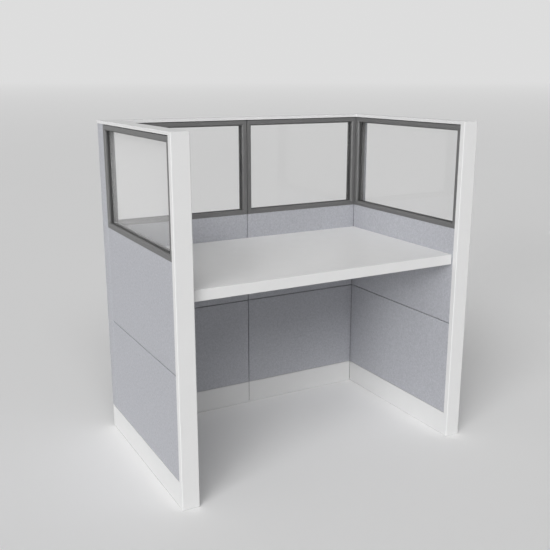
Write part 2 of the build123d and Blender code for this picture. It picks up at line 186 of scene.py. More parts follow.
# Glazing seals. A mitred corner makes a swept strip thinner, by the root of two.
PANE_BITE = 5.5 * MM
DEEP_SEAL = 9.2 * MM
SHALLOW_SEAL = 1.6 * MM
SEAL_THICKNESS = 1.8 * MM
SEAL_GAP = 0.1 * MM
SEAL_EDGE = 0.3 * MM
MITRE = math.sqrt(2)

# Camera
CAMERA_PLACE = (-1.4496, -2.5512, 1.4179)
CAMERA_YAW = math.radians(28.88)
CAMERA_PITCH = math.radians(-14.39)
LENS = 50
SENSOR_WIDTH = 36

# Soft lights: degrees to the left of the front, degrees above the floor, and strength
SOFT_LIGHTS = ((40, 32, 0.9), (60, 8, 1.35), (14, 39, 0.65), (60, 46, 0.55))
SOFT_ANGLE = math.radians(24)
WORLD_LEVEL = 0.236
PLAIN_WHITE = (1, 1, 1, 1)

# Floor. It turns into the background between the two distances from the origin.
FLOOR_SIZE = 1000
FLOOR_CLOUD = 2
FLOOR_SHADES = (0.995, 1.005)
FADE_START = 9.4
FADE_END = 445


class Nodes:
    """A node tree under construction."""

    def __init__(self, tree):
        self.tree = tree

    def feed(self, node, key, value):
        """Give an input of a node its value or its link."""
        socket = node.inputs[key]
        if isinstance(value, bpy.types.NodeSocket):
            self.tree.links.new(value, socket)
        else:
            socket.default_value = value

    def add(self, kind, values=None, **settings):
        """Add a node, with its settings, and its inputs as values or as links."""
        node = self.tree.nodes.new(kind)
        for name, value in settings.items():
            setattr(node, name, value)
        for key, value in (values or {}).items():
            self.feed(node, key, value)
        return node

    def math(self, operation, *values):
        """A Math node's result."""
        return self.add("ShaderNodeMath", dict(enumerate(values)), operation=operation).outputs[0]

    def noise(self, place, size, detail=2.0):
        """Noise from 0 to 1 whose spots are about a size across."""
        values = {"Vector": place, "Scale": 1 / size, "Detail": detail}
        return self.add("ShaderNodeTexNoise", values).outputs[0]

    def spread(self, value, low, high):
        """A value from 0 to 1, mapped to a range."""
        values = {"Value": value, "To Min": low, "To Max": high}
        return self.add("ShaderNodeMapRange", values).outputs[0]

    def blend(self, share, first, second):
        """A number between two others."""
        return self.add("ShaderNodeMix", {0: share, 2: first, 3: second}).outputs[0]

    def blend_colours(self, share, first, second, kind="MIX"):
        """A colour between two others, which are a Mix node's inputs 6 and 7."""
        values = {0: share, 6: first, 7: second}
        return self.add("ShaderNodeMix", values, data_type="RGBA", blend_type=kind).outputs[2]

    def tinted(self, colour, value):
        """A colour made lighter or darker by a factor."""
        tint = self.add("ShaderNodeCombineColor", {0: value, 1: value, 2: value}).outputs[0]
        return self.blend_colours(1, colour, tint, "MULTIPLY")

    def looked_at(self):
        """1 for what the camera sees, straight or by a reflection or through glass, and 0 for light."""
        path = self.add("ShaderNodeLightPath").outputs
        mirrored = self.math("MAXIMUM", path["Is Glossy Ray"], path["Is Transmission Ray"])
        return self.math("MAXIMUM", path["Is Camera Ray"], mirrored)

    def bump(self, height, depth):
        """A bump of a real depth from a height between 0 and 1."""
        values = {"Height": height, "Distance": depth, "Strength": 1}
        return self.add("ShaderNodeBump", values).outputs[0]


def new_material(name, **constants):
    """A material with one principled shader, its constants set on the shader's own sockets."""
    material = bpy.data.materials.new(name)
    material.use_nodes = True
    nodes = Nodes(material.node_tree)
    shader = material.node_tree.nodes["Principled BSDF"]
    for key, value in constants.items():
        shader.inputs[key.replace("_", " ")].default_value = value
    place = nodes.add("ShaderNodeTexCoord").outputs["Object"]
    return material, nodes, shader, place


def yarn_shade(nodes, thread, length, offset):
    """How pale the yarn of a thread is at a place along it, from 0 to 1."""
    across = nodes.math("MULTIPLY", thread, YARN_STEP)
    along = nodes.math("DIVIDE", length, YARN_LENGTH)
    spot = nodes.add("ShaderNodeCombineXYZ", {0: across, 1: along, 2: offset}).outputs[0]
    return nodes.noise(spot, size=1.0, detail=1.0)


def thread_height(nodes, threads):
    """The round of a thread, from 0 at its sides to 1 along its middle."""
    return nodes.math("ABSOLUTE", nodes.math("SINE", nodes.math("MULTIPLY", threads, math.pi)))


def woven_fabric():
    """A plain weave of heathered yarn, on walls that face along X or Y."""
    material, nodes, shader, place = new_material(
        "heathered_cloth", Roughness=0.6, Sheen_Weight=0.05, Sheen_Roughness=0.5)
    split = nodes.add("ShaderNodeSeparateXYZ", {0: place}).outputs
    along = nodes.math("ADD", split[0], split[1])
    slub = nodes.spread(nodes.noise(place, SLUB_SIZE), -SLUB_SHIFT, SLUB_SHIFT)
    warp = nodes.math("ADD", nodes.math("DIVIDE", along, THREAD_PITCH), slub)
    weft = nodes.math("ADD", nodes.math("DIVIDE", split[2], THREAD_PITCH), slub)
    across_warp, across_weft = thread_height(nodes, warp), thread_height(nodes, weft)
    warp_thread, weft_thread = nodes.math("FLOOR", warp), nodes.math("FLOOR", weft)
    parity = nodes.math("PINGPONG", nodes.math("ADD", warp_thread, weft_thread), 1)
    over = nodes.blend(parity, across_warp, across_weft)
    under = nodes.blend(parity, across_weft, across_warp)
    height = nodes.math("MULTIPLY", over, nodes.spread(under, CROSSING_SHARE, 1.0))
    warp_yarn = yarn_shade(nodes, warp_thread, split[2], 0.0)
    weft_yarn = yarn_shade(nodes, weft_thread, along, WEFT_OFFSET)
    dyed = nodes.blend_colours(nodes.blend(parity, warp_yarn, weft_yarn), DARK_YARN, PALE_YARN)
    heather = nodes.spread(nodes.noise(place, HEATHER_SIZE), *HEATHER_SHADES)
    # The heather is the yarn's own tone; the weave's low places are painted darker, as painted shade.
    shade = nodes.math("MULTIPLY", heather, nodes.spread(height, *WEAVE_PAINTED_SHADE))
    nodes.feed(shader, "Base Color", nodes.tinted(dyed, shade))
    nodes.feed(shader, "Normal", nodes.bump(height, WEAVE_DEPTH))
    return material


def coated(name, colour, roughness, grain, depth, mottle=0.02):
    """A painted or moulded surface with a fine grain and a faint mottle."""
    material, nodes, shader, place = new_material(name)
    peel = nodes.noise(place, grain, detail=3.0)
    cloud = nodes.spread(nodes.noise(place, CLOUD_SIZE), 1 - mottle, 1 + mottle)
    level = nodes.math("ADD", cloud, nodes.spread(peel, -GRAIN_SHADE, GRAIN_SHADE))
    gloss = nodes.spread(peel, roughness - GRAIN_ROUGHNESS, roughness + GRAIN_ROUGHNESS)
    nodes.feed(shader, "Base Color", nodes.tinted(colour, level))
    nodes.feed(shader, "Roughness", gloss)
    nodes.feed(shader, "Normal", nodes.bump(peel, depth))
    return material


def clear_glass():
    """Clear glazing with a trace of dust that shows at a flat angle."""
    material, nodes, shader, place = new_material(
        "float_glass", IOR=1.3, Transmission_Weight=1, Sheen_Weight=1, Sheen_Roughness=0.4)
    dust = nodes.noise(place, DUST_SIZE, detail=4.0)
    nodes.feed(shader, "Base Color", nodes.tinted(GLASS_TINT, nodes.spread(dust, *DUST_SHADES)))
    nodes.feed(shader, "Roughness", nodes.spread(dust, *DUST_ROUGHNESS))
    return material


def zinc_plate():
    """Bright zinc plating with a fine drawn grain."""
    material, nodes, shader, place = new_material("zinc_plate", Metallic=1.0)
    grain = nodes.noise(place, ZINC_GRAIN, detail=4.0)
    nodes.feed(shader, "Base Color", nodes.tinted(ZINC, nodes.spread(grain, *ZINC_SHADES)))
    nodes.feed(shader, "Roughness", nodes.spread(grain, *ZINC_ROUGHNESS))
    nodes.feed(shader, "Normal", nodes.bump(grain, ZINC_DEPTH))
    return material


finishes = {
    "panel_fabric": woven_fabric(),
    "white_trim": coated("white_powder_coat", TRIM_WHITE, roughness=0.48, grain=1.2 * MM,
                         depth=0.02 * MM),
    "white_laminate": coated("melamine_white", LAMINATE_WHITE, roughness=0.42, grain=0.8 * MM,
                             depth=0.015 * MM),
    "white_edge": coated("white_edge_band", EDGE_WHITE, roughness=0.4, grain=2.0 * MM,
                         depth=0.01 * MM),
    "window_frame_grey": coated("powder_coat_grey", FRAME_GREY, roughness=0.42, grain=0.9 * MM,
                                depth=0.015 * MM, mottle=0.04),
    "frame_steel": coated("painted_frame_steel", STEEL_GREY, roughness=0.5, grain=1.5 * MM,
                          depth=0.03 * MM, mottle=0.05),
    "bracket_steel": coated("painted_bracket_steel", STEEL_GREY, roughness=0.45, grain=1.5 * MM,
                            depth=0.03 * MM, mottle=0.05),
    "gasket_rubber": coated("black_rubber", RUBBER_AND_SHADE_BLACK, roughness=0.6, grain=1.0 * MM,
                            depth=0.02 * MM, mottle=0.1),
    "clear_glass": clear_glass(),
    "zinc_fasteners": zinc_plate(),
}
finishes["zinc_feet"] = finishes["zinc_fasteners"]
slot_of = {part["node"]: part["material_slot"] for part in frame["record"]["subparts"]}


def cap_coat():
    """The caps' white coat, and black painted on the ribs under them as painted shade in the reveal over
    the window frames.
    """
    material = finishes["white_trim"].copy()
    material.name = "white_cap_coat_painted_shade"
    nodes = Nodes(material.node_tree)
    shader = material.node_tree.nodes["Principled BSDF"]
    coat = shader.inputs["Base Color"].links[0].from_socket
    place = nodes.add("ShaderNodeTexCoord").outputs["Object"]
    height = nodes.add("ShaderNodeSeparateXYZ", {0: place}).outputs[2]
    skirt = min(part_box(f"{wall}_top_cap")[0][2] for wall in WALLS) + CAP_REVEAL
    # The ribs under the skirt's edge show in the reveal over the window frame; they are painted black, as
    # painted shade.
    painted_shade_ribs = nodes.math("LESS_THAN", height, skirt)
    nodes.feed(shader, "Base Color", nodes.blend_colours(painted_shade_ribs, coat, RUBBER_AND_SHADE_BLACK))
    return material


def dress_frame():
    """Give every CAD node the finish of its slot."""
    caps = cap_coat()
    for name, item in frame["nodes"].items():
        item.data.materials.clear()
        item.data.materials.append(caps if name.endswith("_top_cap") else finishes[slot_of[name]])


def corners(node):
    """The lowest and the highest corner of a CAD node."""
    low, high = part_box(node)
    return Vector(low), Vector(high)


def body_holding(node):
    """The CAD body that a node belongs to."""
    bodies = frame["record"]["behaviour"]["bodies"]
    return next(name for name, nodes in bodies.items() if node in nodes)


def smooth(mesh):
    """Smooth shading that keeps the sharp edges."""
    mesh.polygons.foreach_set("use_smooth", [True] * len(mesh.polygons))
    mesh.set_sharp_from_angle(angle=SHARP_ANGLE)


def add_piece(name, mesh, finish, body, *nodes):
    """Link a finished mesh as a piece on a body, in place of the CAD nodes named."""
    smooth(mesh)
    mesh.materials.clear()
    mesh.materials.append(finishes[finish])
    piece = bpy.data.objects.new(name, mesh)
    bpy.context.collection.objects.link(piece)
    if nodes:
        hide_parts(*nodes)
    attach(piece, body)


def add_shape(name, shape, finish, *nodes):
    """Turn a shape into a piece that is fixed in use, in place of the CAD nodes named."""
    mesh = bpy.data.meshes.new(name)
    shape.to_mesh(mesh)
    shape.free()
    add_piece(name, mesh, finish, FIXED_BODY, *nodes)


# Upholstered boards: fabric pulled over a board, round its edges and onto its back

def edge_steps(length):
    """Places across a face: close together over the rounded edges, and even between them."""
    rounded = [BOARD_EDGE * (1 - math.cos(math.pi / 2 * i / EDGE_STEPS)) for i in range(EDGE_STEPS)]
    flat = length - 2 * BOARD_EDGE
    count = max(2, round(flat / CROWN_SPACING))
    middle = [BOARD_EDGE + flat * i / count for i in range(count + 1)]
    return rounded + middle + [length - place for place in reversed(rounded)]


def sunk(place, length):
    """How far the rounded edge of a face drops at a place across it."""
    into_edge = max(0.0, BOARD_EDGE - min(place, length - place))
    return BOARD_EDGE - math.sqrt(max(0.0, BOARD_EDGE ** 2 - into_edge ** 2))


def fullness(place, length):
    """How full the padding is at a place across a face, from 1 in the middle to 0 at the edges."""
    return 1 - (2 * place / length - 1) ** CROWN_POWER


def padded_face(width, height, thickness):
    """An upholstered board lying in the plane of its first and third axes, facing lower depth."""
    shape = bmesh.new()
    across, up = edge_steps(width), edge_steps(height)
    grid = {}
    for i, s in enumerate(across):
        for j, z in enumerate(up):
            drop = max(sunk(s, width), sunk(z, height))
            hollow = 1 - fullness(s, width) * fullness(z, height)
            depth = drop + CROWN * hollow * (1 - drop / BOARD_EDGE)
            grid[i, j] = shape.verts.new((s, depth, z))
    last, top = len(across) - 1, len(up) - 1
    for i in range(last):
        for j in range(top):
            shape.faces.new((grid[i, j], grid[i + 1, j], grid[i + 1, j + 1], grid[i, j + 1]))
    rim = [grid[i, 0] for i in range(last)] + [grid[last, j] for j in range(top)]
    rim += [grid[i, top] for i in range(last, 0, -1)] + [grid[0, j] for j in range(top, 0, -1)]
    steps = ((0, thickness - HEM_FOLD), (HEM_FOLD, thickness), (HEM_WIDTH, thickness),
             (HEM_WIDTH, thickness - HEM_DEPTH))
    ring = rim
    for inset, depth in steps:
        inner = []
        for vertex in rim:
            s = min(max(vertex.co.x, inset), width - inset)
            z = min(max(vertex.co.z, inset), height - inset)
            inner.append(shape.verts.new((s, depth, z)))
        for a in range(len(ring)):
            b = (a + 1) % len(ring)
            shape.faces.new((ring[b], ring[a], inner[a], inner[b]))
        ring = inner
    shape.faces.new(list(reversed(ring)))
    bmesh.ops.remove_doubles(shape, verts=shape.verts, dist=SAME_POINT)
    bmesh.ops.dissolve_degenerate(shape, edges=shape.edges, dist=SAME_POINT)
    bmesh.ops.recalc_face_normals(shape, faces=shape.faces)
    return shape


def facing(outwards, low, high):
    """The turn and shift that put a board, drawn from zero, into a box with its face outwards."""
    if outwards.x:
        x = high.x if outwards.x > 0 else low.x
        y = low.y if outwards.x > 0 else high.y
        turn = math.pi / 2 * outwards.x
    else:
        x = high.x if outwards.y > 0 else low.x
        y = high.y if outwards.y > 0 else low.y
        turn = math.pi if outwards.y > 0 else 0
    return Matrix.Translation((x, y, low.z)) @ Matrix.Rotation(turn, 4, "Z")


def wall_sides():
    """The inner and the outer side of each wall, with the way it faces."""
    towards_user = {"left": Vector((1, 0, 0)), "right": Vector((-1, 0, 0))}
    for wall in WALLS:
        inward = towards_user.get(wall, Vector((0, -1, 0)))
        yield f"{wall}_inner", inward
        yield f"{wall}_outer", -inward


def upholster_tiles():
    """The fabric tiles of all four panels, each a board with its face outwards."""
    for side, outwards in wall_sides():
        for level in ("upper", "lower"):
            node = f"{side}_{level}_tile"
            low, high = corners(node)
            size = high - low
            width, thickness = (size.y, size.x) if outwards.x else (size.x, size.y)
            shape = padded_face(width, size.z, thickness)
            shape.transform(facing(outwards, low, high))
            add_shape(node + "_upholstered", shape, "panel_fabric", node)


def wrapped(name, outlines, node):
    """Strips wrapped in fabric: outlines in plan with their lowest and highest levels."""
    shape = bmesh.new()
    for outline, bottom, top in outlines:
        foot = [shape.verts.new((x, y, bottom)) for x, y in outline]
        head = [shape.verts.new((x, y, top)) for x, y in outline]
        shape.faces.new(list(reversed(foot)))
        shape.faces.new(head)
        for a in range(len(outline)):
            b = (a + 1) % len(outline)
            shape.faces.new((foot[a], foot[b], head[b], head[a]))
    bmesh.ops.recalc_face_normals(shape, faces=shape.faces)
    bmesh.ops.bevel(shape, geom=shape.edges[:], offset=WRAP_EDGE, segments=EDGE_STEPS, profile=0.5,
                    affect="EDGES", clamp_overlap=True)
    add_shape(name, shape, "panel_fabric", node)


def rectangle(x0, x1, y0, y1):
    """A rectangle in plan, anticlockwise."""
    return [(x0, y0), (x1, y0), (x1, y1), (x0, y1)]


def wrap_rear_covers():
    """The left rear end's fabric strip, with its leg between the windows, and the right rear angle."""
    low, high = corners("rear_left_end_cover")
    tile_low, tile_high = corners("left_outer_upper_tile")
    board = tile_high.x - tile_low.x
    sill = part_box("left_window_frame")[0][2]
    leg_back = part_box("left_panel_frame")[1][1]
    strip = rectangle(low.x, low.x + board, low.y, high.y)
    leg = rectangle(low.x + board, high.x, low.y, leg_back)
    outlines = ((strip, low.z, high.z), (leg, sill + FABRIC_GAP, high.z))
    wrapped("rear_left_end_wrap", outlines, "rear_left_end_cover")
    low, high = corners("rear_right_corner_cover")
    angle = [(high.x - board, low.y), (high.x, low.y), (high.x, high.y), (low.x, high.y),
             (low.x, high.y - board), (high.x - board, high.y - board)]
    wrapped("rear_right_corner_wrap", ((angle, low.z, high.z),), "rear_right_corner_cover")


# Thin straight strips

def soft_bar(name, low, high, finish):
    """A straight strip between two corners, its edges slightly rounded."""
    shape = bmesh.new()
    place = Matrix.Translation((low + high) / 2)
    bmesh.ops.create_cube(shape, size=1, matrix=place @ Matrix.Diagonal((*(high - low), 1)))
    bmesh.ops.bevel(shape, geom=shape.edges[:], offset=BAR_EDGE, segments=BAR_EDGE_STEPS, profile=0.5,
                    affect="EDGES")
    add_shape(name, shape, finish)


def floor_lips():
    """A thin white lip on the hinge channel under each base cover, down to the floor."""
    for side, outwards in wall_sides():
        node = f"{side}_base_cover"
        low, high = corners(node)
        flat = 0 if outwards.x else 1
        run = 1 - flat
        face = high[flat] if outwards[flat] > 0 else low[flat]
        front, back = face + outwards[flat] * LIP_PROUD, face - outwards[flat] * LIP_THICKNESS
        low[flat], high[flat] = min(front, back), max(front, back)
        low[run], high[run] = low[run] + LIP_END, high[run] - LIP_END
        low.z, high.z = LIP_LIFT, LIP_LIFT + LIP_HEIGHT
        soft_bar(node + "_floor_lip", low, high, "white_trim")


def seam_strips():
    """Black strips in the seam between the two back panels, so that no light comes through; their black
    stands in for the shade deep in the seam, as painted shade.
    """
    steel_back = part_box("back_left_outer_upper_tile")[0][1]
    window_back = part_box("back_left_window_frame")[1][1]
    for part, back in (("panel", steel_back), ("window", window_back)):
        low, high = corners(f"back_left_{part}_frame")
        low.x = high.x + STRIP_CLEARANCE
        high.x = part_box(f"back_right_{part}_frame")[0][0] - STRIP_CLEARANCE
        high.y = back - STRIP_INSET
        low.y = high.y - STRIP_DEPTH
        low.z = max(low.z, STRIP_FOOT)
        soft_bar(f"back_{part}_seam_strip", low, high, "gasket_rubber")


def corner_welts():
    """A narrow strip of the fabric in each inner corner, between the side boards and the back wall."""
    wall_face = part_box("back_right_inner_upper_tile")[0][1]
    for side, away in (("left", -1), ("right", 1)):
        low, high = corners(f"{side}_inner_upper_tile")
        face = low.x if away > 0 else high.x
        near = face + away * WELT_SET_BACK
        low.x, high.x = sorted((near, near + away * WELT_WIDTH))
        low.y, high.y = high.y + WELT_GAP, wall_face - WELT_GAP
        low.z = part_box(f"{side}_inner_lower_tile")[0][2]
        soft_bar(f"{side}_corner_welt", low, high, "panel_fabric")


# Fasteners, feet and seals, grown by geometry nodes from points or loops

def separate_solids(node):
    """The corner points of each separate solid in a CAD node."""
    shape = bmesh.new()
    shape.from_mesh(frame["nodes"][node].data)
    bmesh.ops.remove_doubles(shape, verts=shape.verts, dist=SAME_POINT)
    reached = set()
    solids = []
    for first in shape.verts:
        if first in reached:
            continue
        reached.add(first)
        # The list grows while it is walked, by the neighbours of each point in it.
        solid = [first]
        for vertex in solid:
            for edge in vertex.link_edges:
                other = edge.other_vert(vertex)
                if other not in reached:
                    reached.add(other)
                    solid.append(other)
        solids.append([vertex.co.copy() for vertex in solid])
    shape.free()
    return solids


def span(points):
    """The lowest and the highest corner round a set of points."""
    low = Vector([min(values) for values in zip(*points)])
    high = Vector([max(values) for values in zip(*points)])
    return low, high


def along_axis(axis):
    """The direction of an axis, by its number."""
    return Vector([float(i == axis) for i in range(3)])


def end_reach(points, middle, axis, end):
    """How far the points at one end of a fastener lie from the line through its middle."""
    across = [i for i in range(3) if i != axis]
    near = (p for p in points if abs(p[axis] - end) < MM)
    return max(math.hypot(*(p[i] - middle[i] for i in across)) for p in near)


def fastener_seats(node, least_length=0.0):
    """Where each fastener longer than a length starts and which way it points, from its widest end."""
    seats = []
    for points in separate_solids(node):
        low, high = span(points)
        size, middle = high - low, (low + high) / 2
        if max(size) > least_length:
            axis = max(range(3), key=lambda i: size[i])
            direction = along_axis(axis)
            upper_reach = end_reach(points, middle, axis, high[axis])
            if upper_reach > end_reach(points, middle, axis, low[axis]):
                direction = -direction
            seats.append((middle - direction * size[axis] / 2, direction))
    return seats


def nut_seats():
    """Where each nut of the connector bolts starts, and the way of its bore."""
    seats = []
    for points in separate_solids("connector_bolts"):
        low, high = span(points)
        size, middle = high - low, (low + high) / 2
        if max(size) < BOLT_LENGTH:
            axis = min(range(3), key=lambda i: size[i])
            direction = along_axis(axis)
            seats.append((middle - direction * size[axis] / 2, direction))
    return seats


def seat_points(seats):
    """A mesh of points, each with the direction of what stands on it."""
    mesh = bpy.data.meshes.new("seats")
    mesh.from_pydata([place for place, direction in seats], [], [])
    attribute = mesh.attributes.new("direction", "FLOAT_VECTOR", "POINT")
    attribute.data.foreach_set("vector", [value for place, direction in seats for value in direction])
    return mesh


class Grower(Nodes):
    """A geometry tree with named inputs that ends in real geometry with a material."""

    def __init__(self, name, sizes):
        tree = bpy.data.node_groups.new(name, "GeometryNodeTree")
        super().__init__(tree)
        tree.interface.new_socket("Geometry", in_out="INPUT", socket_type="NodeSocketGeometry")
        tree.interface.new_socket("Geometry", in_out="OUTPUT", socket_type="NodeSocketGeometry")
        self.sockets = {}
        for label, value in sizes.items():
            kind = "NodeSocketInt" if isinstance(value, int) else "NodeSocketFloat"
            socket = tree.interface.new_socket(label, in_out="INPUT", socket_type=kind)
            self.sockets[socket.identifier] = value
        self.source = self.add("NodeGroupInput").outputs

    def join(self, *pieces):
        """Several geometries as one."""
        node = self.add("GeometryNodeJoinGeometry")
        for piece in pieces:
            self.tree.links.new(piece, node.inputs[0])
        return node.outputs[0]

    def moved(self, piece, height):
        """A piece lifted along Z."""
        offset = self.add("ShaderNodeCombineXYZ", {2: height}).outputs[0]
        return self.add("GeometryNodeTransform", {"Geometry": piece, "Translation": offset}).outputs[0]

    def welded(self, piece):
        """A piece with the points that meet made one."""
        return self.add("GeometryNodeMergeByDistance", {"Geometry": piece, "Distance": WELD}).outputs[0]

    def turned(self, profile, sides):
        """A solid of revolution from radii and heights, from its lower end to its upper."""
        bands = []
        for (r0, z0), (r1, z1) in zip(profile, profile[1:]):
            values = {"Vertices": sides, "Radius Bottom": r0, "Radius Top": r1,
                      "Depth": self.math("SUBTRACT", z1, z0)}
            band = self.add("GeometryNodeMeshCone", values, fill_type="NONE").outputs[0]
            bands.append(self.moved(band, z0))
        return self.welded(self.join(*bands))

    def thread(self, root, start, length, pitch):
        """A screw thread: a triangular ridge wound round a root."""
        values = {"Resolution": THREAD_STEPS, "Rotations": self.math("DIVIDE", length, pitch),
                  "Start Radius": root, "End Radius": root, "Height": length}
        path = self.add("GeometryNodeCurveSpiral", values).outputs[0]
        values = {"Resolution": RIDGE_SIDES, "Radius": self.math("MULTIPLY", pitch, RIDGE_SHARE)}
        ridge = self.add("GeometryNodeCurvePrimitiveCircle", values).outputs[0]
        values = {"Curve": path, "Profile Curve": ridge, "Fill Caps": True}
        wound = self.add("GeometryNodeCurveToMesh", values).outputs[0]
        return self.moved(wound, start)

    def on_points(self, piece):
        """A copy of a piece on every point, turned to the point's direction."""
        values = {"Name": "direction"}
        direction = self.add("GeometryNodeInputNamedAttribute", values, data_type="FLOAT_VECTOR").outputs[0]
        turn = self.add("FunctionNodeAlignRotationToVector", {"Vector": direction}, axis="Z").outputs[0]
        values = {"Points": self.source["Geometry"], "Instance": piece, "Rotation": turn}
        return self.add("GeometryNodeInstanceOnPoints", values).outputs[0]

    def end(self, piece, finish):
        """Realize what was made and give it its material."""
        real = self.add("GeometryNodeRealizeInstances", {0: piece}).outputs[0]
        values = {"Geometry": real, "Material": finishes[finish]}
        dressed = self.add("GeometryNodeSetMaterial", values).outputs[0]
        self.add("NodeGroupOutput", {"Geometry": dressed})

    def grow(self, name, source):
        """The plain mesh that the tree makes of a source mesh."""
        holder = bpy.data.objects.new(name + "_source", source)
        bpy.context.collection.objects.link(holder)
        modifier = holder.modifiers.new("grow", "NODES")
        modifier.node_group = self.tree
        for identifier, value in self.sockets.items():
            modifier[identifier] = value
        depsgraph = bpy.context.evaluated_depsgraph_get()
        mesh = bpy.data.meshes.new_from_object(holder.evaluated_get(depsgraph))
        holder.modifiers.remove(modifier)
        bpy.data.objects.remove(holder)
        mesh.name = name
        return mesh


def crowned_head(grower):
    """A pan head's profile, from the top of its crown to its flat underside."""
    radius, height = grower.source["Head Radius"], grower.source["Head Height"]
    profile = [(0.0, 0.0)]
    for step in range(CROWN_STEPS + 1):
        angle = math.pi / 2 * step / CROWN_STEPS
        share = HEAD_FLAT_SHARE + (1 - HEAD_FLAT_SHARE) * math.sin(angle)
        rise = grower.math("MULTIPLY", height, (1 - math.cos(angle)) * HEAD_CROWN_SHARE)
        profile.append((grower.math("MULTIPLY", radius, share), rise))
    profile.append((radius, height))
    profile.append((0.0, height))
    return profile


def cross_recess(grower, head):
    """A head with a cross cut into it."""
    source = grower.source
    reach = grower.math("MULTIPLY", source["Head Radius"], RECESS_REACH_SHARE)
    slots = []
    for wide, deep in ((reach, source["Recess"]), (source["Recess"], reach)):
        size = grower.add("ShaderNodeCombineXYZ", {0: wide, 1: deep, 2: source["Head Height"]}).outputs[0]
        slots.append(grower.add("GeometryNodeMeshCube", {"Size": size}).outputs[0])
    values = {"Mesh 1": head, "Mesh 2": grower.join(*slots), "Self Intersection": True}
    cut = grower.add("GeometryNodeMeshBoolean", values, operation="DIFFERENCE", solver="EXACT").outputs[0]
    return grower.welded(cut)


def machine_screws():
    """The worktop's pan-head screws, with a cross recess and a thread."""
    sizes = {"Head Radius": SCREW_HEAD_RADIUS, "Head Height": SCREW_HEAD_HEIGHT, "Root": SCREW_ROOT,
             "Length": SCREW_LENGTH, "Pitch": SCREW_PITCH, "Recess": SCREW_RECESS, "Sides": ROUND_SIDES}
    grower = Grower("machine_screws", sizes)
    source = grower.source
    root, pitch, head_height = source["Root"], source["Pitch"], source["Head Height"]
    head = cross_recess(grower, grower.turned(crowned_head(grower), source["Sides"]))
    inside = grower.math("MULTIPLY", head_height, SHANK_START_SHARE)
    top = grower.math("ADD", head_height, source["Length"])
    tip = grower.math("SUBTRACT", top, pitch)
    point = grower.math("MULTIPLY", root, SCREW_POINT_SHARE)
    profile = [(0.0, inside), (root, inside), (root, tip), (point, top), (0.0, top)]
    shank = grower.turned(profile, source["Sides"])
    threaded = grower.math("SUBTRACT", source["Length"], pitch)
    ridge = grower.thread(root, head_height, threaded, pitch)
    grower.end(grower.on_points(grower.join(head, shank, ridge)), "zinc_fasteners")
    mesh = grower.grow("worktop_screw_set", seat_points(fastener_seats("worktop_screws")))
    add_piece("worktop_screw_set", mesh, "zinc_fasteners", FIXED_BODY, "worktop_screws")


def hexagon_bolts():
    """The connector bolts, with chamfered hexagon heads and a thread at their ends."""
    sizes = {"Hexagon": BOLT_HEXAGON, "Head Height": BOLT_HEAD_HEIGHT, "Root": BOLT_ROOT,
             "Length": BOLT_LENGTH, "Threaded": BOLT_THREADED, "Pitch": BOLT_PITCH, "Sides": ROUND_SIDES}
    grower = Grower("hexagon_bolts", sizes)
    source = grower.source
    radius, root, height = source["Hexagon"], source["Root"], source["Head Height"]
    bevel = grower.math("MULTIPLY", height, HEAD_BEVEL_SHARE)
    narrow = grower.math("MULTIPLY", radius, HEXAGON_FACE_SHARE)
    profile = [(0.0, 0.0), (narrow, 0.0), (radius, bevel), (radius, height), (0.0, height)]
    head = grower.turned(profile, HEXAGON_SIDES)
    end = grower.math("ADD", height, source["Length"])
    inside = grower.math("MULTIPLY", height, SHANK_START_SHARE)
    shank = grower.turned([(0.0, inside), (root, inside), (root, end), (0.0, end)], source["Sides"])
    start = grower.math("SUBTRACT", end, source["Threaded"])
    ridge = grower.thread(root, start, source["Threaded"], source["Pitch"])
    grower.end(grower.on_points(grower.join(head, shank, ridge)), "zinc_fasteners")
    bolts = fastener_seats("connector_bolts", BOLT_LENGTH)
    mesh = grower.grow("connector_bolt_set", seat_points(bolts))
    add_piece("connector_bolt_set", mesh, "zinc_fasteners", FIXED_BODY, "connector_bolts")


def hexagon_nuts():
    """The connector bolts' nuts, chamfered on both faces."""
    sizes = {"Hexagon": BOLT_HEXAGON, "Height": NUT_HEIGHT, "Bore": BOLT_CLEAR}
    grower = Grower("hexagon_nuts", sizes)
    radius, height, bore = (grower.source[label] for label in ("Hexagon", "Height", "Bore"))
    bevel = grower.math("MULTIPLY", height, NUT_BEVEL_SHARE)
    narrow = grower.math("MULTIPLY", radius, HEXAGON_FACE_SHARE)
    upper = grower.math("SUBTRACT", height, bevel)
    profile = [(bore, height), (bore, 0.0), (narrow, 0.0), (radius, bevel), (radius, upper),
               (narrow, height), (bore, height)]
    grower.end(grower.on_points(grower.turned(profile, HEXAGON_SIDES)), "zinc_fasteners")
    mesh = grower.grow("connector_nut_set", seat_points(nut_seats()))
    add_piece("connector_nut_set", mesh, "zinc_fasteners", FIXED_BODY)


